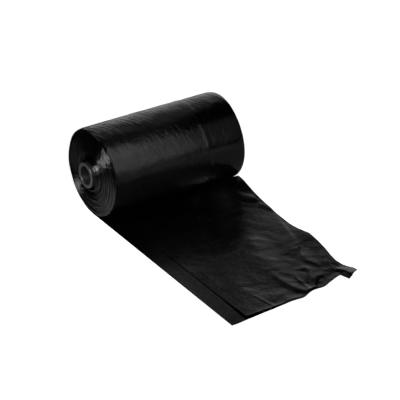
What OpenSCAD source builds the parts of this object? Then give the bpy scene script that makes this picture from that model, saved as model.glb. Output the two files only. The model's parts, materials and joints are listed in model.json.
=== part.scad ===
// A roll of dog poop bags with its leading bag drawn out over the table.
// The origin is on the table under the middle of the roll. X runs along the core,
// -Y points along the leading bag to its open mouth, and +Z is up.

/* [Roll] */
// Width of the folded film, and so of the roll
web_w = 58; // [45:1:80]
// Diameter of the wound roll
roll_d = 35.3; // [26:0.1:44]
// Thickness of one ply of the folded film, as wound
ply_t = 0.35; // [0.25:0.01:0.45]
// Air between one turn and the next
turn_gap = 0.15; // [0.1:0.01:0.3]
// How far the roll has settled onto its flat spot
flat_sag = 0.25; // [0.1:0.05:0.5]
// How far the inner ply's edge stands back from the outer ply's in the roll
roll_inset = 0.6; // [0.2:0.1:2]
// How far the innermost turns have slipped along with the core
slip = 1; // [0:0.1:2]
// Depth of winding over which that slip fades
slip_depth = 3.5; // [1:0.5:6]
// Unevenness of the turns' edges at the two ends
edge_ripple = 0.12; // [0:0.02:0.3]

/* [Core] */
// Outer diameter of the plastic core
core_d = 10.2; // [8:0.1:13]
// Wall of the core
core_wall = 1.4; // [0.8:0.1:2]
// How far the core stands proud of the roll's left end
core_proud = 3; // [0:0.5:6]
// Clearance between the core and the innermost turn
core_fit = 0.1; // [0.05:0.05:0.3]

/* [Leading bag] */
// Length drawn out of the roll, from under its axis to the bag's mouth
tail_l = 97; // [60:1:150]
// How far the upper ply's free edge stands in from the left fold
edge_inset = 7; // [3:0.5:12]
// How far the upper ply stands back at the mouth
mouth_inset = 1; // [0.2:0.1:2]
// Gap between the two plies at the mouth
mouth_gap = 0.5; // [0.2:0.05:1]
// How much further back the mouth lies at its right end than at its left
mouth_skew = 4.4; // [0:0.1:8]
// Length beside the roll over which the plies still cling together
cling_l = 12; // [8:1:16]

/* [Folds and gathers] */
// Height of the right edge where the film peels off the roll
peel_h = 4.7; // [0:0.1:6]
// Distance of that height from the roll's axis
peel_at = 14.5; // [12:0.5:18]
// Length over which it dies away
peel_len = 10.8; // [6:0.1:16]
// Height of the creased corner halfway down the right edge
corner_h = 1.9; // [0:0.1:4]
// Distance of that corner from the roll's axis, as a share of the length drawn out
corner_at = 0.64; // [0.4:0.01:0.75]
// Height of the raised lip along the mouth
lip_h = 1.1; // [0:0.1:3]
// Height of the curl at the mouth's right corner
curl_h = 1.8; // [0:0.1:4]
// Height of the wrinkles that run out from the gather
gather_h = 1.1; // [0:0.1:2]
// Place of the gather along the mouth, from the middle of the film
gather_x = 8; // [-10:0.5:14]
// Reach of the wrinkles from the gather
gather_reach = 24; // [10:1:40]

/* [Hidden] */
half_w = web_w / 2;
roll_r = roll_d / 2;
axis_z = roll_r - flat_sag;
core_r = core_d / 2;
web_t = 2 * ply_t;
pitch = web_t + turn_gap;
inner_r = core_r + core_fit;

// The wound film is swept in equal steps of its winding angle, from the flat spot inwards
turn_steps = 32;
step_a = 360 / turn_steps;
flat_a = acos(axis_z / roll_r);
wound_a = 360 * (roll_r - web_t - inner_r) / pitch;
rings = floor(wound_a / step_a);

// The leading bag is a grid of stations along its length and columns across its width
stations = 30;
columns = 24;
edge_col = 3;
station_ease = 0.5;
cling_station = [for (i = [0 : stations]) if (tail_l * spread(i / stations) < cling_l) i][0];

// Reach of each soft form across the film or along it
peel_from = 4;
corner_from = 19;
corner_len = 8;
lip_from = -24;
lip_to = 2;
lip_len = 20;
curl_from = 24;
curl_len = 6;
valley_x = 24;
valley_w = 2.4;
gather_grow = 7;
gather_set_back = 1.2;
gather_w = 5;
mouth_inset_len = 18;

function smooth(t) = let (c = min(max(t, 0), 1)) c * c * (3 - 2 * c);
function bell(d, w) = exp(-pow(d / w, 2));
function fade(d, w) = 1 / (1 + pow(d / w, 2));
function blend(a, b, t) = a + (b - a) * t;

// Share of the drawn length that lies between the roll's axis and a station
function spread(u) = blend(1 - u, (1 + cos(180 * u)) / 2, station_ease);

// Space under the roll for the film that comes out from below it
function room(y) =
    let (r = roll_r - 0.75 * pitch)
    abs(y) < r ? max(axis_z - sqrt(r * r - y * y) - pitch, 0) : axis_z;

// Wrinkles that run out from the gather at the mouth
function gather(x, d) =
    let (dx = x - gather_x, r = norm([dx, d]), a = atan2(d, dx))
    let (rays = 0.5 + 0.3 * cos(11 * a + 40) + 0.2 * cos(17 * a))
    gather_h * rays * smooth(r / gather_grow) * bell(r, gather_reach);

// The lip, valley and curl along the mouth, by the distance d from it
function mouth_lift(x, d) =
    let (lip = lip_h * smooth((x - lip_from) / (lip_to - lip_from)) * fade(d, lip_len / 2))
    let (valley = bell(x - valley_x, valley_w) * bell(d, curl_len * 2))
    let (curl = curl_h * smooth((x - curl_from) / (half_w - curl_from)) * bell(d, curl_len))
    lip * (1 - valley) + curl;

// Height of the film's underside over the table
function lift(x, y) =
    let (right = smooth((x - peel_from) / (half_w - peel_from)))
    let (peel = peel_h * right * fade(y + peel_at, peel_len))
    let (corner = corner_h * smooth((x - corner_from) / (half_w - corner_from)))
    let (corner_y = corner * bell(y + corner_at * tail_l, corner_len))
    let (d = tail_l + y)
    min(peel + corner_y + mouth_lift(x, d) + gather(x, d), room(y));

// Distance from the roll's axis to the mouth, which is drawn in at the gather
function mouth_at(x) =
    tail_l - mouth_skew * smooth((x + half_w) / web_w) - gather_set_back * bell(x - gather_x, gather_w);

function ply_gap(i) =
    i >= cling_station ? 0 :
    mouth_gap * pow(smooth((spread(i / stations) * tail_l - cling_l) / (tail_l - cling_l)), 1.5);

function film_x(j) =
    j <= edge_col
        ? blend(-half_w, -half_w + edge_inset, j / edge_col)
        : blend(-half_w + edge_inset, half_w, (j - edge_col) / (columns - edge_col));

// The underside of the film at one place of the grid
function under(i, j, in = 0) =
    let (x = film_x(j) - in, y = -mouth_at(x) * spread(i / stations))
    [x, y, lift(x, y)];

// The upper ply stands back from the mouth, and less so further in
function set_back(i) =
    mouth_inset * smooth(1 - tail_l * (1 - spread(i / stations)) / mouth_inset_len);

function lower_top(i, j) = under(i, j, j == columns ? ply_t : 0) + [0, 0, ply_t];
function upper_under(i, j) = lower_top(i, j) + [0, set_back(i), ply_gap(i)];
function upper_top(i, j) = under(i, j) + [0, set_back(i), web_t + ply_gap(i)];

// The wound film: a point by its place along the roll, its depth in the film and its winding angle
function wound(x, depth, a) =
    let (r = roll_r - pitch * a / 360 - depth)
    let (reach = cos(a) > 0 ? min(roll_r, axis_z / cos(a)) : roll_r)
    let (q = inner_r + (r - inner_r) * (reach - inner_r) / (roll_r - inner_r))
    [x, q * sin(a), axis_z - q * cos(a)];

function ring_angle(n) = n == 1 ? flat_a : n * step_a;

// Slip of a turn along the core, with the small unevenness of hand-wound edges
function shift(a) =
    let (depth = roll_r - pitch * a / 360 - inner_r)
    let (ripple = edge_ripple * sin(a * 0.37) * sin(a * 0.113))
    ripple * smooth(a / 360) - slip * (1 - smooth(depth / slip_depth));

function ring_inset(a) = blend(edge_inset, roll_inset, smooth(a / 150));

function ring(n) =
    let (a = ring_angle(n), s = shift(a), l = s - half_w, r = s + half_w, e = l + ring_inset(a))
    [
        wound(l, 0, a),
        wound(r, 0, a),
        wound(r, web_t, a),
        wound(e, web_t, a),
        wound(e, ply_t, a),
        wound(l, ply_t, a)
    ];

// One quad of the skin as two triangles
function quad(a, b, c, d) = [[a, b, c], [a, c, d]];
// A fan from one point to each pair of neighbours in a row
function fan(p, row) = [for (i = [0 : len(row) - 2]) [p, row[i], row[i + 1]]];
// A strip of quads between two rows of the same length
function strip(a, b) = [for (i = [0 : len(a) - 2]) each quad(a[i], a[i + 1], b[i + 1], b[i])];
function flip(faces) = [for (f = faces) [f[2], f[1], f[0]]];

// The whole web of film as one closed skin: wound turns, then the two plies of the leading bag
module bag_web() {
    row_n = columns + 1;
    edge_n = edge_col + 1;
    top_n = columns - edge_col + 1;
    slot_n = columns - edge_col;

    under_pts = [for (i = [0 : stations]) for (j = [0 : columns]) under(i, j)];
    edge_pts = [for (i = [0 : stations]) for (j = [0 : edge_col]) lower_top(i, j)];
    top_pts = [for (i = [0 : stations]) for (j = [edge_col : columns]) upper_top(i, j)];
    floor_pts = [for (i = [0 : cling_station]) for (j = [edge_col + 1 : columns]) lower_top(i, j)];
    roof_pts = [for (i = [0 : cling_station - 1]) for (j = [edge_col : columns]) upper_under(i, j)];
    ring_pts = [for (n = [1 : rings]) each ring(n)];

    edge_at = len(under_pts);
    top_at = edge_at + len(edge_pts);
    floor_at = top_at + len(top_pts);
    roof_at = floor_at + len(floor_pts);
    ring_at = roof_at + len(roof_pts);

    // Rows of point numbers, from the left edge to the right
    under_row = [for (i = [0 : stations]) [for (j = [0 : columns]) i * row_n + j]];
    edge_row = [for (i = [0 : stations]) [for (j = [0 : edge_col]) edge_at + i * edge_n + j]];
    top_row = [for (i = [0 : stations]) [for (j = [0 : top_n - 1]) top_at + i * top_n + j]];
    floor_row = [for (i = [0 : cling_station])
        [edge_row[i][edge_col], for (j = [0 : slot_n - 1]) floor_at + i * slot_n + j]];
    roof_row = [for (i = [0 : cling_station])
        i == cling_station ? floor_row[i] : [for (j = [0 : top_n - 1]) roof_at + i * top_n + j]];
    ring_row = [for (n = [0 : rings - 1]) [for (k = [0 : 5]) ring_at + 6 * n + k]];

    first = ring_row[0];
    last = ring_row[rings - 1];

    sheet_faces = [for (i = [0 : stations - 1]) each concat(
        flip(strip(under_row[i], under_row[i + 1])),
        strip(edge_row[i], edge_row[i + 1]),
        strip(top_row[i], top_row[i + 1]),
        quad(under_row[i][0], edge_row[i][0], edge_row[i + 1][0], under_row[i + 1][0]),
        quad(under_row[i][columns], under_row[i + 1][columns], top_row[i + 1][slot_n], top_row[i][slot_n])
    )];
    slot_faces = [for (i = [0 : cling_station - 1]) each concat(
        strip(floor_row[i], floor_row[i + 1]),
        flip(strip(roof_row[i], roof_row[i + 1])),
        i == cling_station - 1
            ? [[floor_row[i][slot_n], roof_row[i][slot_n], floor_row[i + 1][slot_n]],
                [roof_row[i][0], top_row[i][0], top_row[i + 1][0]],
                [roof_row[i][0], top_row[i + 1][0], floor_row[i + 1][0]]]
            : concat(
                quad(floor_row[i][slot_n], roof_row[i][slot_n], roof_row[i + 1][slot_n], floor_row[i + 1][slot_n]),
                quad(roof_row[i][0], top_row[i][0], top_row[i + 1][0], roof_row[i + 1][0]))
    )];
    cling_faces = [for (i = [cling_station : stations - 1])
        each quad(edge_row[i][edge_col], top_row[i][0], top_row[i + 1][0], edge_row[i + 1][edge_col])];
    mouth_lower = [for (j = [0 : edge_col]) edge_row[0][j], for (j = [1 : slot_n]) floor_row[0][j]];
    mouth_faces = concat(
        strip(under_row[0], mouth_lower),
        strip(roof_row[0], top_row[0]),
        quad(under_row[0][columns], top_row[0][slot_n], roof_row[0][slot_n], floor_row[0][slot_n])
    );

    // The last station opens out onto the first ring of the wound film
    join_faces = concat(
        flip(fan(first[0], under_row[stations])),
        [[first[0], first[1], under_row[stations][columns]]],
        quad(under_row[stations][columns], first[1], first[2], top_row[stations][slot_n]),
        fan(first[3], top_row[stations]),
        [[first[3], top_row[stations][slot_n], first[2]]],
        quad(top_row[stations][0], first[3], first[4], edge_row[stations][edge_col]),
        fan(first[5], edge_row[stations]),
        [[first[5], edge_row[stations][edge_col], first[4]]],
        quad(edge_row[stations][0], first[5], first[0], under_row[stations][0])
    );
    wound_faces = [for (n = [0 : rings - 2]) for (k = [0 : 5])
        each quad(ring_row[n][k], ring_row[n + 1][k], ring_row[n + 1][(k + 1) % 6], ring_row[n][(k + 1) % 6])];
    end_faces = flip(fan(last[4], [for (k = [5 : 9]) last[k % 6]]));

    color([0.10, 0.10, 0.11])
        polyhedron(
            points = concat(under_pts, edge_pts, top_pts, floor_pts, roof_pts, ring_pts),
            faces = flip(concat(sheet_faces, slot_faces, cling_faces, mouth_faces, join_faces,
                wound_faces, end_faces)),
            convexity = 10
        );
}

// The plain tube that the film is wound on
module core_tube() {
    color([0.24, 0.24, 0.25])
        translate([-half_w - core_proud, 0, axis_z])
            rotate([0, 90, 0])
                difference() {
                    cylinder(d = core_d, h = web_w, $fn = 64);
                    translate([0, 0, -1])
                        cylinder(d = core_d - 2 * core_wall, h = web_w + 2, $fn = 64);
                }
}

core_tube();
bag_web();
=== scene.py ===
import json
import math
import bmesh
import bpy
import numpy as np
from mathutils import Matrix, Vector
from mathutils import noise as mnoise

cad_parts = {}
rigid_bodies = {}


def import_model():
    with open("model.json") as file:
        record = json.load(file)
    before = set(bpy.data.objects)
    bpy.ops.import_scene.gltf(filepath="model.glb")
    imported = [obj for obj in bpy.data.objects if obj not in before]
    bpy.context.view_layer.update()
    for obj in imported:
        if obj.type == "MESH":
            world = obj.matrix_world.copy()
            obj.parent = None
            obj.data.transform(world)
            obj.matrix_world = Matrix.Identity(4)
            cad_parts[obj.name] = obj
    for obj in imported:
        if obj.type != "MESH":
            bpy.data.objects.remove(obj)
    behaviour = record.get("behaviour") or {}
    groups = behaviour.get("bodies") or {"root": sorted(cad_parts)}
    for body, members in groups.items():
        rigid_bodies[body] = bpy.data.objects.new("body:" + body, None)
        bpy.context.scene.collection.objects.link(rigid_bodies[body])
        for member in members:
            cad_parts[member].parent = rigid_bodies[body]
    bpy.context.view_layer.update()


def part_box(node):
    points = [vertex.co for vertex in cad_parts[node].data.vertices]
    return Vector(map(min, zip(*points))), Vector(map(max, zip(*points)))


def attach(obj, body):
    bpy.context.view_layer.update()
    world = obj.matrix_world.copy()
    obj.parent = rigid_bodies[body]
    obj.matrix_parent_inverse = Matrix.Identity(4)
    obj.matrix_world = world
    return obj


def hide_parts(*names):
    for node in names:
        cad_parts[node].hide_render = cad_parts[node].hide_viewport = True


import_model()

# Camera: a long lens a metre away, in front of the roll, to its left and well above the table.
# Sizes are in metres, with MM to write millimetres. Only the folds of the bag and the lights of
# the studio are listed in plain millimetres.
MM = 0.001
camera_turn = math.radians(32.72)
camera_rise = math.radians(29.01)
camera_reach = 1000 * MM
aim = Vector((1.91, -27.80, 9.62)) * MM
look = Vector((math.sin(camera_turn) * math.cos(camera_rise),
               math.cos(camera_turn) * math.cos(camera_rise),
               -math.sin(camera_rise)))
camera_data = bpy.data.cameras.new("camera")
camera_data.lens = 237.6
camera_data.clip_start = 0.05
camera_data.clip_end = 10
camera = bpy.data.objects.new("camera", camera_data)
bpy.context.scene.collection.objects.link(camera)
camera.location = aim - look * camera_reach
camera.rotation_mode = "QUATERNION"
camera.rotation_quaternion = look.to_track_quat("-Z", "Y")
bpy.context.scene.camera = camera


# Core tube: the extruded plastic tube that the film is wound on, charcoal and matt. It stands
# proud of the roll's left end, and its wall takes a faint scuffed grain from the extruder.
def new_material(name):
    material = bpy.data.materials.new(name)
    material.use_nodes = True
    return material, material.node_tree.nodes, material.node_tree.links


def noise(nodes, links, where, scale, detail=3.0, roughness=0.5, distortion=0.0):
    texture = nodes.new("ShaderNodeTexNoise")
    texture.inputs["Scale"].default_value = scale
    texture.inputs["Detail"].default_value = detail
    texture.inputs["Roughness"].default_value = roughness
    texture.inputs["Distortion"].default_value = distortion
    links.new(where, texture.inputs["Vector"])
    return texture.outputs["Fac"]


def remap(nodes, links, value, low, high, to_low, to_high):
    node = nodes.new("ShaderNodeMapRange")
    node.inputs["From Min"].default_value = low
    node.inputs["From Max"].default_value = high
    node.inputs["To Min"].default_value = to_low
    node.inputs["To Max"].default_value = to_high
    links.new(value, node.inputs["Value"])
    return node.outputs["Result"]


def multiplied(nodes, links, a, b):
    node = nodes.new("ShaderNodeMath")
    node.operation = "MULTIPLY"
    links.new(a, node.inputs[0])
    links.new(b, node.inputs[1])
    return node.outputs["Value"]


def bumped(nodes, links, height, distance, strength=1.0, under=None):
    node = nodes.new("ShaderNodeBump")
    node.inputs["Strength"].default_value = strength
    node.inputs["Distance"].default_value = distance
    links.new(height, node.inputs["Height"])
    if under is not None:
        links.new(under, node.inputs["Normal"])
    return node.outputs["Normal"]


def core_plastic():
    material, nodes, links = new_material("core_plastic")
    shader = nodes["Principled BSDF"]
    place = nodes.new("ShaderNodeTexCoord").outputs["Object"]
    lengthwise = nodes.new("ShaderNodeMapping")
    lengthwise.inputs["Scale"].default_value = (0.08, 1, 1)
    links.new(place, lengthwise.inputs["Vector"])
    drag = noise(nodes, links, lengthwise.outputs["Vector"], 2600, detail=4)
    scuff = noise(nodes, links, place, 700, detail=6, roughness=0.65)
    colour = nodes.new("ShaderNodeValToRGB")
    colour.color_ramp.elements[0].position = 0.3
    colour.color_ramp.elements[0].color = (0.012, 0.012, 0.013, 1)
    colour.color_ramp.elements[1].position = 0.75
    colour.color_ramp.elements[1].color = (0.028, 0.028, 0.029, 1)
    links.new(scuff, colour.inputs["Fac"])
    # The rims at both ends of the tube are painted paler: a painted highlight that stands in for the light
    # the rounded rims catch.
    painted_rim_mask = nodes.new("ShaderNodeAttribute")
    painted_rim_mask.attribute_name = "rim_highlight_paint"
    paler = nodes.new("ShaderNodeMix")
    paler.data_type = "RGBA"
    links.new(painted_rim_mask.outputs["Fac"], paler.inputs["Factor"])
    links.new(colour.outputs["Color"], paler.inputs["A"])
    paler.inputs["B"].default_value = (0.11, 0.11, 0.112, 1)
    links.new(paler.outputs["Result"], shader.inputs["Base Color"])
    links.new(remap(nodes, links, scuff, 0.3, 0.7, 0.30, 0.46), shader.inputs["Roughness"])
    grain = bumped(nodes, links, drag, 0.05 * MM, 0.5)
    links.new(grain, shader.inputs["Normal"])
    return material


core_low, core_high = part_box("core_tube")
core_outer = 5.1 * MM
core_inner = 3.7 * MM
rim_round = 0.35 * MM
core_axis = (core_low[2] + core_high[2]) / 2
core_steps = 96
rim_steps = 4
rims = (
    (core_low[0], 1, core_outer, -1),
    (core_high[0], -1, core_outer, -1),
    (core_high[0], -1, core_inner, 1),
    (core_low[0], 1, core_inner, 1),
)
profile = []
for number, (x, towards, radius, outwards) in enumerate(rims):
    corner = []
    for k in range(rim_steps + 1):
        swing = math.pi / 2 * k / rim_steps
        corner.append((x + towards * rim_round * (1 - math.cos(swing)),
                       radius + outwards * rim_round * (1 - math.sin(swing))))
    profile += corner[::-1] if number % 2 else corner
ring_size = len(profile)
core_points = []
core_faces = []
for n in range(core_steps):
    around = 2 * math.pi * n / core_steps
    core_points += [(x, r * math.sin(around), core_axis + r * math.cos(around)) for x, r in profile]
    ring_start = n * ring_size
    next_start = (n + 1) % core_steps * ring_size
    for i in range(ring_size):
        beside = (i + 1) % ring_size
        core_faces.append((ring_start + i, ring_start + beside, next_start + beside, next_start + i))
core_mesh = bpy.data.meshes.new("core")
core_mesh.from_pydata(core_points, [], core_faces)
# The points on the rims at both ends carry the mask for the core's painted rim highlight.
rim_highlight_paint = core_mesh.attributes.new("rim_highlight_paint", "FLOAT", "POINT")
near_end = [min(x - core_low[0], core_high[0] - x) < 0.6 * rim_round for x, r in profile] * core_steps
rim_highlight_paint.data.foreach_set("value", [float(v) for v in near_end])
whole = bmesh.new()
whole.from_mesh(core_mesh)
bmesh.ops.recalc_face_normals(whole, faces=whole.faces[:])
whole.to_mesh(core_mesh)
whole.free()
core_mesh.shade_smooth()
core_mesh.materials.append(core_plastic())
core = bpy.data.objects.new("core", core_mesh)
bpy.context.scene.collection.objects.link(core)
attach(core, "root")
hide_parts("core_tube")


# Film: black polyethylene, folded once along the web's right side and wound on the core. One
# material serves the wound turns and the bag drawn out of them: glossy, with fine stretch marks
# along the film, small crinkles all over and duller patches where it was handled.
ply = 0.21 * MM
web_thickness = 2 * ply
half_width = 29 * MM


def bag_film():
    material, nodes, links = new_material("bag_film")
    shader = nodes["Principled BSDF"]
    shader.inputs["Base Color"].default_value = (0.0016, 0.0016, 0.0017, 1)
    shader.inputs["IOR"].default_value = 1.5
    own = nodes.new("ShaderNodeAttribute")
    own.attribute_name = "film_place"
    place = own.outputs["Vector"]

    # Stretch marks run nearly along the film, a little aslant, and come and go in patches
    slanted = nodes.new("ShaderNodeMapping")
    slanted.vector_type = "TEXTURE"
    slanted.inputs["Rotation"].default_value = (0, 0, math.radians(-18))
    slanted.inputs["Scale"].default_value = (1, 9, 1)
    links.new(place, slanted.inputs["Vector"])
    streak = noise(nodes, links, slanted.outputs["Vector"], 900, detail=3, roughness=0.55)
    patches = noise(nodes, links, place, 70, detail=2)
    amount = remap(nodes, links, patches, 0.38, 0.62, 0.25, 1.0)
    marked = multiplied(nodes, links, streak, amount)

    # The marks are strongest on the left of the roll's back and top, and faint on its front and
    # on the flat bag
    split = nodes.new("ShaderNodeSeparateXYZ")
    links.new(place, split.inputs["Vector"])
    over_top = remap(nodes, links, split.outputs["Y"], 58 * MM, 66 * MM, 1.0, 0.11)
    on_roll = remap(nodes, links, split.outputs["Y"], -25 * MM, 5 * MM, 0.10, 1.0)
    leftward = remap(nodes, links, split.outputs["X"], -20 * MM, 10 * MM, 1.0, 0.0)
    outermost = remap(nodes, links, split.outputs["Y"], 18 * MM, 24 * MM, 0.0, 1.0)
    at_left = remap(nodes, links, multiplied(nodes, links, leftward, outermost), 0, 1, 1.0, 2.6)
    place_share = multiplied(nodes, links, multiplied(nodes, links, over_top, on_roll), at_left)
    tight = multiplied(nodes, links, marked, place_share)

    # Small crinkles all over, and a gloss that is duller on the flat bag than on the roll, but
    # less so at its mouth
    crinkle = noise(nodes, links, place, 520, detail=5, roughness=0.62, distortion=0.5)
    crinkle = multiplied(nodes, links, crinkle, remap(nodes, links, on_roll, 0, 1, 0.95, 1.0))
    blotch = noise(nodes, links, place, 150, detail=3)
    dull = remap(nodes, links, blotch, 0.35, 0.7, 0.09, 0.17)
    dull = multiplied(nodes, links, dull, remap(nodes, links, on_roll, 0.1, 1.0, 1.7, 1.0))
    at_mouth = remap(nodes, links, split.outputs["Y"], -78 * MM, -60 * MM, 0.65, 1.0)
    dull = multiplied(nodes, links, dull, at_mouth)
    links.new(dull, shader.inputs["Roughness"])
    fine = noise(nodes, links, place, 1700, detail=3, roughness=0.6, distortion=0.8)
    first = bumped(nodes, links, crinkle, 0.13 * MM, 0.8)
    second = bumped(nodes, links, fine, 0.03 * MM, 0.8, first)
    third = bumped(nodes, links, tight, 0.55 * MM, 1.0, second)
    links.new(third, shader.inputs["Normal"])
    return material


film_material = bag_film()


# Wound turns: the film lies tight on itself, turn on turn. Only the edges of the turns show, as
# fine rings at both ends, where some stand a little proud of their neighbours.
roll_radius = 17.85 * MM
axis_height = 17.55 * MM
turn_pitch = 0.53 * MM
core_gap_radius = 5.75 * MM
outer_turns = 390 / 360
inner_turns = (roll_radius - web_thickness - core_gap_radius) / turn_pitch - outer_turns


def group_inputs(tree, sizes):
    for name, (kind, value) in sizes.items():
        socket = tree.interface.new_socket(name, in_out="INPUT", socket_type=kind)
        if value is not None:
            socket.default_value = value


def set_inputs(modifier, values):
    for item in modifier.node_group.interface.items_tree:
        if item.item_type == "SOCKET" and item.in_out == "INPUT" and item.name in values:
            modifier[item.identifier] = values[item.name]


def wound_turns_tree(material):
    tree = bpy.data.node_groups.new("wound_turns", "GeometryNodeTree")
    tree.is_modifier = True
    group_inputs(tree, {
        "Geometry": ("NodeSocketGeometry", None),
        "Turns": ("NodeSocketFloat", 20.0),
        "Steps per Turn": ("NodeSocketInt", 80),
        "Inner Radius": ("NodeSocketFloat", core_gap_radius),
        "Pitch": ("NodeSocketFloat", turn_pitch),
        "Thickness": ("NodeSocketFloat", web_thickness),
        "Width": ("NodeSocketFloat", 2 * half_width),
        "Start Angle": ("NodeSocketFloat", 0.0),
        "Edge Wander": ("NodeSocketFloat", 0.15 * MM),
        "Layer Step": ("NodeSocketFloat", 0.50 * MM),
    })
    tree.interface.new_socket("Geometry", in_out="OUTPUT", socket_type="NodeSocketGeometry")
    nodes, links = tree.nodes, tree.links
    given = nodes.new("NodeGroupInput").outputs

    def math_node(operation, a, b=None):
        node = nodes.new("ShaderNodeMath")
        node.operation = operation
        for socket, value in zip(node.inputs, (a, b)):
            if isinstance(value, (int, float)):
                socket.default_value = value
            elif value is not None:
                links.new(value, socket)
        return node.outputs[0]

    count = math_node("MULTIPLY", given["Turns"], given["Steps per Turn"])
    line = nodes.new("GeometryNodeCurvePrimitiveLine")
    dense = nodes.new("GeometryNodeResampleCurve")
    links.new(line.outputs["Curve"], dense.inputs["Curve"])
    links.new(count, dense.inputs["Count"])
    index = nodes.new("GeometryNodeInputIndex").outputs["Index"]
    turn = math_node("DIVIDE", index, given["Steps per Turn"])
    angle = math_node("SUBTRACT", given["Start Angle"], math_node("MULTIPLY", turn, 2 * math.pi))
    half_film = math_node("MULTIPLY", given["Thickness"], 0.5)
    radius = math_node("ADD", math_node("ADD", given["Inner Radius"], half_film),
                       math_node("MULTIPLY", turn, given["Pitch"]))
    spot = nodes.new("ShaderNodeCombineXYZ")
    links.new(math_node("MULTIPLY", radius, math_node("SINE", angle)), spot.inputs["X"])
    links.new(math_node("MULTIPLY", radius, math_node("COSINE", angle)), spot.inputs["Y"])
    place = nodes.new("GeometryNodeSetPosition")
    links.new(dense.outputs["Curve"], place.inputs["Geometry"])
    links.new(spot.outputs["Vector"], place.inputs["Position"])
    keep = nodes.new("GeometryNodeStoreNamedAttribute")
    keep.data_type = "FLOAT"
    keep.domain = "POINT"
    keep.inputs["Name"].default_value = "turn"
    links.new(place.outputs["Geometry"], keep.inputs["Geometry"])
    links.new(turn, keep.inputs["Value"])
    upright = nodes.new("GeometryNodeSetCurveNormal")
    upright.mode = "Z_UP"
    links.new(keep.outputs["Geometry"], upright.inputs["Curve"])

    edge = nodes.new("GeometryNodeCurvePrimitiveQuadrilateral")
    links.new(given["Thickness"], edge.inputs["Width"])
    links.new(given["Width"], edge.inputs["Height"])
    rounded = nodes.new("GeometryNodeFilletCurve")
    rounded.mode = "POLY"
    rounded.inputs["Count"].default_value = 3
    links.new(edge.outputs["Curve"], rounded.inputs["Curve"])
    links.new(math_node("MULTIPLY", given["Thickness"], 0.45), rounded.inputs["Radius"])
    film = nodes.new("GeometryNodeCurveToMesh")
    film.inputs["Fill Caps"].default_value = True
    links.new(upright.outputs["Curve"], film.inputs["Curve"])
    links.new(rounded.outputs["Curve"], film.inputs["Profile Curve"])

    # Each edge wanders in and out along the axis from turn to turn, and layers of three or four
    # turns stand proud of their neighbours together
    stored = nodes.new("GeometryNodeInputNamedAttribute")
    stored.data_type = "FLOAT"
    stored.inputs["Name"].default_value = "turn"
    here = nodes.new("GeometryNodeInputPosition").outputs["Position"]
    split = nodes.new("ShaderNodeSeparateXYZ")
    links.new(here, split.inputs["Vector"])
    side = math_node("SIGN", split.outputs["Z"])

    def swing(turn_scale, place_scale, seed):
        along = nodes.new("ShaderNodeCombineXYZ")
        links.new(math_node("MULTIPLY", side, seed), along.inputs["X"])
        links.new(math_node("MULTIPLY", split.outputs["X"], place_scale), along.inputs["Y"])
        links.new(math_node("MULTIPLY", split.outputs["Y"], place_scale), along.inputs["Z"])
        wander = nodes.new("ShaderNodeTexNoise")
        wander.noise_dimensions = "4D"
        wander.inputs["Scale"].default_value = 1.0
        wander.inputs["Detail"].default_value = 1.0
        links.new(along.outputs["Vector"], wander.inputs["Vector"])
        links.new(math_node("MULTIPLY", stored.outputs["Attribute"], turn_scale), wander.inputs["W"])
        return math_node("MULTIPLY", math_node("SUBTRACT", wander.outputs["Fac"], 0.5), 4.0)

    wander = math_node("MULTIPLY", swing(1.7, 90, 7.0), given["Edge Wander"])
    layers = math_node("MULTIPLY", swing(0.62, 22, 3.0), given["Layer Step"])
    travel = math_node("MULTIPLY", math_node("ADD", wander, layers), side)
    move = nodes.new("ShaderNodeCombineXYZ")
    links.new(travel, move.inputs["Z"])
    uneven = nodes.new("GeometryNodeSetPosition")
    links.new(film.outputs["Mesh"], uneven.inputs["Geometry"])
    links.new(move.outputs["Vector"], uneven.inputs["Offset"])

    whole = nodes.new("GeometryNodeRealizeInstances")
    links.new(uneven.outputs["Geometry"], whole.inputs["Geometry"])
    finish = nodes.new("GeometryNodeSetMaterial")
    finish.inputs["Material"].default_value = material
    links.new(whole.outputs["Geometry"], finish.inputs["Geometry"])
    out = nodes.new("NodeGroupOutput")
    links.new(finish.outputs["Geometry"], out.inputs["Geometry"])
    return tree


def smooth(t):
    t = np.clip(t, 0, 1)
    return t * t * (3 - 2 * t)


def settle(points):
    """Sink the round winding onto its flat spot, slip its inner turns along the axis, and draw the
    outer turns in at both ends."""
    drawn_in = 0.30 * MM
    drawn_in_from = 12.5 * MM
    end_band = 1.6 * MM
    slip = 1.0 * MM
    slipped_depth = 4 * MM
    inner_sag = 0.35 * MM
    y, z = points[:, 1], points[:, 2] - axis_height
    radius = np.maximum(np.hypot(y, z), 1e-9)
    down = -z / radius
    to_table = axis_height / np.maximum(down, 1e-6)
    reach = np.where(down > 1e-6, np.minimum(roll_radius, to_table), roll_radius)
    share = (reach - core_gap_radius) / (roll_radius - core_gap_radius)
    outward = smooth((radius - drawn_in_from) / (roll_radius - drawn_in_from))
    past_end = np.maximum(np.abs(points[:, 0]) - half_width + end_band, 0) / end_band
    sunk = core_gap_radius + (radius - core_gap_radius) * share - drawn_in * outward * past_end ** 2
    inner = 1 - smooth((radius - core_gap_radius) / slipped_depth)
    left = points[:, 0] < 0
    collar = np.exp(-((radius - 6.2 * MM) / (0.55 * MM)) ** 2)
    hollow = np.exp(-((radius - 7.5 * MM) / (0.8 * MM)) ** 2)
    points[:, 0] -= slip * inner
    points[:, 0] += np.where(left, 0.9 * hollow - 0.5 * collar - 0.5 * (1 - outward), 0.0) * MM
    points[:, 1] = y * sunk / radius - inner_sag * inner
    points[:, 2] = z * sunk / radius + axis_height - inner_sag * inner
    return points


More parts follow.
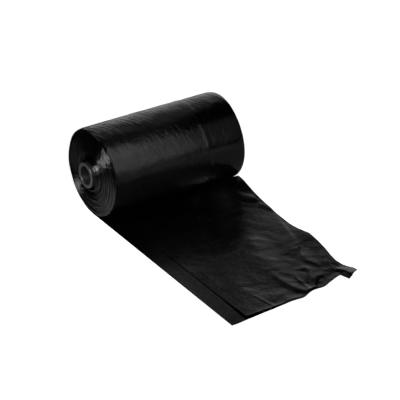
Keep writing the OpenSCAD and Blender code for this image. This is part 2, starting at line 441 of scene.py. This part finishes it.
wound = bpy.data.objects.new("wound_turns", bpy.data.meshes.new("wound_turns"))
bpy.context.scene.collection.objects.link(wound)
winding = wound.modifiers.new("winding", "NODES")
winding.node_group = wound_turns_tree(film_material)
set_inputs(winding, {"Turns": inner_turns, "Start Angle": 2 * math.pi * (outer_turns + inner_turns)})
bpy.context.view_layer.update()
made = wound.evaluated_get(bpy.context.evaluated_depsgraph_get())
wound_mesh = bpy.data.meshes.new_from_object(made)
wound.modifiers.remove(winding)
bpy.data.objects.remove(wound)
flat = np.empty(3 * len(wound_mesh.vertices))
wound_mesh.vertices.foreach_get("co", flat)
flat = flat.reshape(-1, 3)
wound_points = np.stack([-flat[:, 2], flat[:, 0], axis_height - flat[:, 1]], axis=1)
wound_points = settle(wound_points)


# Leading bag and outer turn: the same film, two plies thick, comes round the roll, runs out under
# it and lies on the table. The upper ply stops short of the lower one's left edge, and the mouth
# is creased and notched. The skin is closed: every row of points is joined to the next.
drawn_out = 97 * MM
edge_inset = 7 * MM
roll_inset = 0.6 * MM
cling = 12 * MM
mouth_skew = 4.4 * MM
tab_from = 23.2 * MM
notch_depth = 3.2 * MM
peel_height = 4.95 * MM
peel_at = 12.8 * MM
peel_reach = 11.4 * MM


def bell(d, w):
    return np.exp(-(d / w) ** 2)


def fade(d, w):
    return 1 / (1 + (d / w) ** 2)


def crumple(x, y, size, seed):
    """A rolling unevenness of the given size, from -1 to 1."""
    value = np.empty(len(x))
    for i, (a, b) in enumerate(zip(x / size, y / size)):
        value[i] = mnoise.noise(Vector((a, b, seed)))
    return value


def room_under_roll(y):
    """Height that is free for the film under the roll, and the axis's height beyond the roll."""
    solid_pitch = 0.85 * MM
    clearance = 0.65 * MM
    radius = roll_radius - 0.75 * solid_pitch
    inside = np.abs(y) < radius
    drop = np.sqrt(np.maximum(radius ** 2 - y ** 2, 0))
    return np.where(inside, np.maximum(axis_height - drop - clearance, 0), axis_height)


def mouth(x):
    """Distance from the roll's axis to the mouth, with a small tab at its right corner."""
    beyond = smooth((x - tab_from) / (1.0 * MM))
    slant = mouth_skew * smooth((x + half_width) / (2 * half_width))
    drawn = 0.9 * MM * bell(x - 9 * MM, 3 * MM) - 0.9 * MM * bell(x - 3 * MM, 2.5 * MM)
    drawn -= 0.6 * MM * bell(x + 6 * MM, 9 * MM)
    notch = notch_depth * smooth((x - 12 * MM) / (12 * MM)) * (1 - beyond)
    tab = 0.62 * np.maximum(x - 24.5 * MM, 0) - 1.5 * MM * beyond
    ragged = 0.35 * MM * crumple(x, 0 * x, 5 * MM, 2.2)
    return drawn_out - slant - drawn - notch - tab - np.maximum(ragged, 0)


def lift(x, y):
    """Height of the film's underside over the table."""
    peel = peel_height * smooth((x - 4 * MM) / (17 * MM))
    peel -= 0.25 * MM * smooth((x - 22 * MM) / (7 * MM))
    peel = peel * fade(y + peel_at, peel_reach)
    corner = 0.6 * MM * smooth((x - 21.5 * MM) / (7.5 * MM)) * bell(y + 61 * MM, 9 * MM)
    inward = np.maximum(mouth(x) + y, 0)
    curl = (0.28 + 0.32 * bell(x + 7 * MM, 12 * MM)) * MM
    lip = curl * np.exp(-inward / (3.0 * MM)) + 0.08 * MM * np.exp(-inward / (9 * MM))
    lip = lip * smooth((x + 27 * MM) / (10 * MM))
    flap = smooth((x - 24.2 * MM) / (1.1 * MM)) * smooth((-y - 83.5 * MM) / (9 * MM))
    flap = 1.5 * MM * flap - 0.5 * MM * flap * smooth((x - 26 * MM) / (4 * MM))
    return np.minimum(peel + corner + lip + flap, room_under_roll(y))


# Folds of the upper ply: where each runs on the table, how high it stands, and how wide it is to
# its left and its right as one looks along the film towards the roll, all in millimetres
folds = [
    ([(29, -34), (26, -48.5), (23, -57.6), (21.2, -64.5)], 0.30, 4.5, 0.8),
    ([(27, -63), (25, -79)], 0.10, 2.6, 1.2),
    ([(25.6, -76), (24.4, -88)], 0.06, 1.2, 0.7),
    ([(9, -44), (9, -54), (6, -62), (4.5, -72)], 0.30, 6.0, 5.0),
    ([(2.4, -73), (3.4, -84), (4.3, -89.5), (7.4, -93.6)], 0.30, 1.5, 2.0),
    ([(9, -80), (8.2, -88), (7.8, -94)], 0.18, 0.8, 0.9),
    ([(16.4, -76), (14.8, -82), (10.6, -90.5), (8.6, -94)], 0.24, 1.0, 1.6),
    ([(20, -84.4), (14.4, -86.8), (9.6, -92)], 0.09, 1.6, 0.9),
    ([(-15, -72), (-10, -84), (-1, -94)], 0.14, 8.0, 3.2),
    ([(-12.4, -81), (-9.3, -96)], 0.11, 0.6, 0.6),
    ([(-20, -65), (-18, -74), (-10, -79)], -0.17, 1.8, 1.8),
    ([(19, -69), (20, -77)], 0.16, 1.8, 1.8),
    ([(20.7, -62.5), (20.4, -67)], -0.09, 1.7, 1.7),
    ([(15, -66), (14.6, -70)], -0.09, 1.7, 1.7),
    ([(13, -77), (17, -80)], 0.08, 1.6, 1.6),
    ([(17.5, -73), (21, -79)], 0.07, 1.5, 1.0),
    ([(20, -18), (22, -22), (26, -26)], 1.25, 2.2, 1.6),
    ([(26.5, -30), (28.5, -35)], 0.30, 1.6, 1.2),
    ([(4, -23), (10, -28), (18, -29)], 0.12, 1.0, 1.0),
    ([(-25, -51), (-14, -56), (-1, -52)], 0.08, 3.5, 3.5),
]


def fold_height(x, y):
    total = np.zeros_like(x)
    for points, height, width_left, width_right in folds:
        best = np.full_like(x, 1e9)
        share = np.zeros_like(x)
        side = np.zeros_like(x)
        legs = len(points) - 1
        for k in range(legs):
            (x0, y0), (x1, y1) = points[k], points[k + 1]
            dx, dy = (x1 - x0) * MM, (y1 - y0) * MM
            t = np.clip(((x - x0 * MM) * dx + (y - y0 * MM) * dy) / (dx * dx + dy * dy), 0, 1)
            d = np.hypot(x - x0 * MM - t * dx, y - y0 * MM - t * dy)
            nearer = d < best
            best = np.where(nearer, d, best)
            share = np.where(nearer, (k + t) / legs, share)
            side = np.where(nearer, dx * (y - y0 * MM) - dy * (x - x0 * MM), side)
        width = np.where(side > 0, width_right, width_left) * MM
        ends = smooth(share / 0.35)
        total += height * MM * ends * np.exp(-(best / width) ** 2)
    return total


def upper_form(x, y):
    """How far the upper ply stands up from the lower one."""
    near = smooth((-y - 18 * MM) / (22 * MM))
    right = smooth((x + 4 * MM) / (16 * MM)) * smooth((-y - 42 * MM) / (12 * MM))
    rolling = 0.13 * MM * crumple(x, y, 11 * MM, 3.1)
    small = (0.052 + 0.038 * right) * MM * crumple(x + y * 0.3, y, 3.4 * MM, 8.4)
    return (fold_height(x, y) + rolling + small) * near + 0.03 * MM


skin_points = []
skin_faces = []
skin_place = []


def add_row(points, place):
    start = len(skin_points)
    skin_points.extend(map(tuple, points))
    skin_place.extend(map(tuple, place))
    return list(range(start, start + len(points)))


def weave(a, b):
    """Quads between two rows of the same length."""
    skin_faces.extend((a[i], a[i + 1], b[i + 1], b[i]) for i in range(len(a) - 1))


def stitch(a, b):
    """Triangles between two rows of different lengths."""
    i = j = 0
    while i < len(a) - 1 or j < len(b) - 1:
        if j == len(b) - 1 or (i < len(a) - 1 and (i + 1) / (len(a) - 1) <= (j + 1) / (len(b) - 1)):
            skin_faces.append((a[i], a[i + 1], b[j]))
            i += 1
        else:
            skin_faces.append((a[i], b[j + 1], b[j]))
            j += 1


stations = 160
share_out = [1 - i / stations for i in range(stations + 1)]
spread = [0.62 * u + 0.38 * (1 - (1 - u) ** 1.6) for u in share_out]
slot_end = max(i for i in range(stations + 1) if spread[i] * drawn_out > cling)
x_edge = edge_inset - half_width
under_x = np.linspace(-half_width, half_width, 59)
ledge_x = np.linspace(-half_width, x_edge, 15)
floor_x = np.linspace(x_edge, half_width - ply, 52)
top_x = np.concatenate([np.linspace(x_edge, 8 * MM, 61)[:-1], np.linspace(8 * MM, half_width, 71)])


def lay(x, share, rise, set_back=0.0, folded=False):
    y = -mouth(x) * share + set_back
    z = lift(x, y) + rise
    if folded:
        z = z + upper_form(x, y)
    return np.stack([x, y, z], axis=1)


def ply_gap(x, y, share):
    """The plies part a little towards the mouth, and the upper one's free corner stands up."""
    opening = 0.10 * MM * smooth((share * drawn_out - cling) / (drawn_out - cling)) ** 1.5
    opening = opening * (1 - 0.8 * smooth((x + 14 * MM) / (8 * MM)))
    corner = 0.75 * MM * bell(x - x_edge, 9 * MM) * bell(y + drawn_out, 9 * MM)
    return opening + corner * (share * drawn_out > cling + 10 * MM)


# The upper ply is set back at the mouth, and both plies thin out towards it. Each point's x and y
# are kept as its place on the film, which the material reads
mouth_inset = 1.0 * MM
inset_reach = 18 * MM
thin_reach = 7 * MM
thin_share = 0.35
rows = []
for i in range(stations + 1):
    u = spread[i]
    back = mouth_inset * float(smooth(1 - drawn_out * (1 - u) / inset_reach))
    sheet = ply * (thin_share + (1 - thin_share) * float(smooth((1 - u) * drawn_out / thin_reach)))
    top = lay(top_x, u, 2 * sheet, back, folded=True)
    gap = ply_gap(top[:, 0], top[:, 1], u) if i <= slot_end else 0.0
    top[:, 2] += gap
    row = {"under": lay(under_x, u, 0.0), "ledge": lay(ledge_x, u, sheet), "top": top}
    row["fold"] = np.array([[half_width + 0.12 * MM, top[-1, 1], (row["under"][-1, 2] + top[-1, 2]) / 2]])
    if i <= slot_end:
        row["floor"] = lay(floor_x, u, sheet)[1:]
        row["roof"] = (top - (0, 0, sheet))[::2]
        row["roof"][-1, 0] -= ply
    rows.append({name: add_row(p, p * (1, 1, 0)) for name, p in row.items()})
    if i <= slot_end:
        rows[-1]["floor"] = [rows[-1]["ledge"][-1]] + rows[-1]["floor"]

for i in range(stations):
    here, there = rows[i], rows[i + 1]
    weave(here["under"], there["under"])
    weave(here["ledge"], there["ledge"])
    weave(here["top"], there["top"])
    weave([here["under"][0], here["ledge"][0]], [there["under"][0], there["ledge"][0]])
    weave([here["under"][-1], here["fold"][0], here["top"][-1]],
          [there["under"][-1], there["fold"][0], there["top"][-1]])
    if i < slot_end:
        weave(here["floor"], there["floor"])
        weave(here["roof"], there["roof"])
        weave([here["floor"][-1], here["roof"][-1]], [there["floor"][-1], there["roof"][-1]])
        weave([here["roof"][0], here["top"][0]], [there["roof"][0], there["top"][0]])
    elif i == slot_end:
        stitch(here["floor"], here["roof"])
        skin_faces.append((here["ledge"][-1], there["ledge"][-1], there["top"][0],
                           here["top"][0], here["roof"][0]))
    else:
        weave([here["ledge"][-1], here["top"][0]], [there["ledge"][-1], there["top"][0]])
edge_row = rows[0]
stitch(edge_row["under"], edge_row["ledge"] + edge_row["floor"][1:])
stitch(edge_row["roof"], edge_row["top"])
skin_faces.append((edge_row["under"][-1], edge_row["fold"][0], edge_row["top"][-1],
                   edge_row["roof"][-1], edge_row["floor"][-1]))

# The outer turn's own form: it tapers to the right, and the folded edge of an inner ply shows
# through as a step about a quarter of the width from the right end
step_at = 14 * MM
ridge_at = 13.1 * MM
wave_sin, wave_cos = 0.306, 0.952
right_taper = 0.026
front_angle = math.radians(232)
front_spread = math.radians(34)
inset_angle = 2.6
forming_angle = 0.5
outer_x = np.linspace(-half_width, half_width, 98)
turn_steps = 170
flat_angle = math.acos(axis_height / roll_radius)


def outer_form(x, run, front):
    taper = -0.06 * MM * smooth((x + 6 * MM) / (step_at + 6 * MM))
    form = taper - 0.12 * MM * smooth((x - step_at) / (0.6 * MM))
    form -= right_taper * front * np.maximum(x - step_at, 0)
    form += 0.08 * MM * bell(x - ridge_at, 0.8 * MM)
    along = wave_sin * x + wave_cos * run
    across = wave_cos * x - wave_sin * run
    waves = 0.060 * (1 - 0.80 * front) * MM * crumple(across, along / 7, 1.9 * MM, 1.7)
    dents = 0.055 * MM * crumple(x, run, 9 * MM, 5.2)
    near_end = smooth((-12 * MM - x) / (10 * MM))
    buckles = 0.10 * MM * near_end * crumple(x * 0.8, run, 4.5 * MM, 9.6)
    return form + waves + dents + buckles


rings = []
for n in range(turn_steps + 1):
    angle = flat_angle + (2 * math.pi * outer_turns - flat_angle) * n / turn_steps
    run = roll_radius * angle
    front = math.exp(-((angle - front_angle) / front_spread) ** 2)
    wind_in = turn_pitch * angle / (2 * math.pi)
    inset = edge_inset + (roll_inset - edge_inset) * float(smooth(angle / inset_angle))
    wander = (0.16 * math.sin(3 * angle + 1) + 0.10 * math.sin(7.3 * angle)) * MM * float(smooth(angle))
    corner_x = np.array([half_width, -half_width + inset, -half_width + inset, -half_width + wander])
    depth = np.array([web_thickness, web_thickness, ply, ply])
    all_x = np.concatenate([outer_x + wander * (outer_x < 0) * (-outer_x / half_width), corner_x])
    formed = float(smooth((angle - flat_angle) / forming_angle))
    form = np.zeros(len(all_x))
    form[:len(outer_x)] = outer_form(outer_x, np.full(len(outer_x), run), front) * formed
    form[len(outer_x):] = form[len(outer_x) - 1] * 0.5
    radius = roll_radius - wind_in + form
    radius[len(outer_x):] -= depth
    points = np.stack([all_x, radius * math.sin(angle), axis_height - radius * math.cos(angle)], axis=1)
    place = np.stack([all_x, np.full(len(all_x), run), np.zeros(len(all_x))], axis=1)
    ring = add_row(settle(points), place)
    rings.append((ring[:len(outer_x)], ring[len(outer_x):]))

outer, (far, upper, step_in, near) = rings[0]
last = rows[-1]
stitch(last["under"], outer)
stitch([last["under"][-1], last["fold"][0], last["top"][-1]], [outer[-1], far])
stitch(last["top"], [upper, far])
weave([last["ledge"][-1], last["top"][0]], [step_in, upper])
stitch(last["ledge"], [near, step_in])
weave([last["under"][0], last["ledge"][0]], [outer[0], near])
for (outer_a, rest_a), (outer_b, rest_b) in zip(rings, rings[1:]):
    weave(outer_a, outer_b)
    weave([outer_a[-1], *rest_a, outer_a[0]], [outer_b[-1], *rest_b, outer_b[0]])
skin_faces.append((*rings[-1][0], *rings[-1][1]))


# The film runs half a millimetre further to the right than to the left, and the side fold of the
# flat bag wanders: how far it lies to the right of the roll's end, from the mouth to the roll
side_fold_y = [-92, -88.5, -84, -80, -76, -70.7, -65, -59, -54, -50, -40, -33, -15, -9]
side_fold_shift = [0.5, 0.5, -0.9, -1.3, -0.7, 0.4, 1.0, 1.4, 0.2, -0.4, -0.3, 0.0, 0.1, 0.0]


def widen(points):
    points = np.array(points, dtype=float)
    x, y, z = points[:, 0], points[:, 1], points[:, 2]
    shift = np.interp(-y, [-v * MM for v in side_fold_y[::-1]], [v * MM for v in side_fold_shift[::-1]])
    points[:, 0] = np.where(x > 0, x * 1.016, x) + shift * smooth((x - 18 * MM) / (11 * MM)) * (z < 6 * MM)
    return points


def set_place(mesh, values):
    layer = mesh.attributes.new("film_place", "FLOAT_VECTOR", "POINT")
    layer.data.foreach_set("vector", np.asarray(values, dtype=np.float32).ravel())


skin_mesh = bpy.data.meshes.new("bag_film")
skin_mesh.from_pydata(widen(skin_points), [], skin_faces)
wound_mesh.vertices.foreach_set("co", widen(wound_points).ravel())
set_place(skin_mesh, skin_place)
set_place(wound_mesh, wound_points)
joined = bmesh.new()
joined.from_mesh(skin_mesh)
bmesh.ops.recalc_face_normals(joined, faces=joined.faces[:])
joined.from_mesh(wound_mesh)
bmesh.ops.recalc_face_normals(joined, faces=joined.faces[:])
film_mesh = bpy.data.meshes.new("bag_film")
joined.to_mesh(film_mesh)
joined.free()
film_mesh.materials.clear()
film_mesh.materials.append(film_material)
film_mesh.polygons.foreach_set("material_index", [0] * len(film_mesh.polygons))
film_mesh.shade_smooth()
film_mesh.set_sharp_from_angle(angle=math.radians(50))
film = bpy.data.objects.new("bag_film", film_mesh)
bpy.context.scene.collection.objects.link(film)
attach(film, "root")
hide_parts("bag_web")


# Studio: a plain pale table top with soft light. The film is a mirror, so what it shows is the
# lights: a tall soft box in front on the right, others behind and above, and a small lamp on the
# left that only the rounded edges catch. None of it is part of the object.
def soft_box(name, centre, across, along, width, height, radiance):
    data = bpy.data.lights.new(name, "AREA")
    data.shape = "RECTANGLE"
    data.size = width * MM
    data.size_y = height * MM
    data.energy = radiance * data.size * data.size_y * math.pi
    light = bpy.data.objects.new(name, data)
    bpy.context.scene.collection.objects.link(light)
    away = across.cross(along)
    light.matrix_world = Matrix.Translation(centre * MM) @ Matrix((across, along, away)).transposed().to_4x4()
    light.visible_camera = False
    return light


def toward(azimuth, elevation):
    """The direction of a light from the roll, by azimuth from +X to +Y and height over the table."""
    a, e = math.radians(azimuth), math.radians(elevation)
    return Vector((math.cos(a) * math.cos(e), math.sin(a) * math.cos(e), math.sin(e)))


def facing_roll(azimuth, elevation, distance, right=0.0, up=0.0, turn=0.0):
    """Centre and edge directions of a light that faces the roll, moved and turned in its plane."""
    away = toward(azimuth, elevation)
    level = Vector((0, 0, 1)).cross(away).normalized()
    upward = away.cross(level)
    centre = Vector((0, 0, 17.4)) + away * distance + level * right + upward * up
    c, s = math.cos(math.radians(turn)), math.sin(math.radians(turn))
    return centre, level * c - upward * s, level * s + upward * c


tall_box = (-50, 38, 150)
tall_turn = 16.4
soft_box("tall_box_upper", *facing_roll(*tall_box, -38.1, 70.8, tall_turn), 90, 90, 1.20)
soft_box("tall_box_lower", *facing_roll(*tall_box, -63.6, -15.5, tall_turn), 90, 90, 0.90)
soft_box("tall_box_foot", *facing_roll(*tall_box, -83, -81, tall_turn), 90, 46, 0.35)
soft_box("dim_box_right", *facing_roll(*tall_box, 24, -30, tall_turn), 80, 120, 0.12)
behind = (Vector((-1, 0, 0)), Vector((0, 0, 1)))
soft_box("dim_box_behind", Vector((88, 112, 136)), *behind, 60, 64, 0.045)
soft_box("dim_strip_behind", Vector((100, 112, 97)), *behind, 100, 20, 0.12)
soft_box("low_box_behind", Vector((112, 110, 43)), *behind, 208, 84, 0.58)
soft_box("high_box_behind", Vector((160, 110, 118)), *behind, 84, 60, 0.33)
above = (Vector((1, 0, 0)), Vector((0, 1, 0)))
soft_box("box_above_far", Vector((26, 80, 90)), *above, 60, 52, 0.55)
soft_box("box_above_near", Vector((25, 32, 90)), *above, 58, 44, 0.20)
soft_box("dim_box_above", Vector((15, -5, 90)), *above, 46, 32, 0.07)
soft_box("dim_box_above_left", Vector((7, -5, 90)), *above, 30, 32, 0.06)
soft_box("small_lamp", *facing_roll(-135, 46, 600), 260, 240, 30.0)
key = soft_box("key", *facing_roll(-50, 25, 900), 220, 220, 15.0)
key.visible_glossy = False
fill = soft_box("rim_fill", *facing_roll(-160, 30, 90), 24, 24, 9.0)
fill.visible_glossy = False
wash = soft_box("table_wash", Vector((-60, 8, 40)), Vector((1, 0, 0)), Vector((0, 0.43, -0.9)), 40, 20, 10.0)
wash.visible_glossy = False
for light in bpy.data.objects:
    if light.type == "LIGHT" and light not in (key, fill, wash):
        light.visible_diffuse = False

# The table top is seen as white, but the film mirrors it as a mid grey with the roll's shade on it
table_top_half = 1.5
table_drop = 0.02 * MM
unseen_glow = 0.005
table_mesh = bpy.data.meshes.new("table_top")
table_corners = [(table_top_half * side, table_top_half * end, 0)
                 for side, end in ((-1, -1), (1, -1), (1, 1), (-1, 1))]
table_mesh.from_pydata(table_corners, [], [(0, 1, 2, 3)])
table_mesh.transform(Matrix.Translation((0, 0, -table_drop)))
table_top = bpy.data.objects.new("table_top", table_mesh)
bpy.context.scene.collection.objects.link(table_top)
for lamp, lit in ((fill, core), (wash, table_top)):
    receiver = bpy.data.collections.new("lit_by_" + lamp.name)
    receiver.objects.link(lit)
    lamp.light_linking.receiver_collection = receiver
table_material, nodes, links = new_material("pale_table")
paint = nodes["Principled BSDF"]
paint.inputs["Base Color"].default_value = (0.80, 0.80, 0.80, 1)
paint.inputs["Roughness"].default_value = 0.9
paint.inputs["Specular IOR Level"].default_value = 0.0
glow = nodes.new("ShaderNodeEmission")
glow.inputs["Color"].default_value = (1, 1, 1, 1)
rays = nodes.new("ShaderNodeLightPath")
table_glow = remap(nodes, links, rays.outputs["Is Camera Ray"], 0, 1, unseen_glow, 1.0)
links.new(table_glow, glow.inputs["Strength"])
both = nodes.new("ShaderNodeAddShader")
links.new(paint.outputs["BSDF"], both.inputs[0])
links.new(glow.outputs["Emission"], both.inputs[1])
links.new(both.outputs["Shader"], nodes["Material Output"].inputs["Surface"])
table_mesh.materials.append(table_material)

# The room: white to the camera, and nearly dark in the film's gloss and on the table
world = bpy.data.worlds.new("room")
world.use_nodes = True
bpy.context.scene.world = world
nodes, links = world.node_tree.nodes, world.node_tree.links
backdrop = nodes["Background"]
rays = nodes.new("ShaderNodeLightPath")
room_glow = remap(nodes, links, rays.outputs["Is Camera Ray"], 0, 1, unseen_glow, 1.0)
links.new(room_glow, backdrop.inputs["Strength"])
backdrop.inputs["Color"].default_value = (1, 1, 1, 1)
bpy.context.scene.view_settings.view_transform = "Standard"
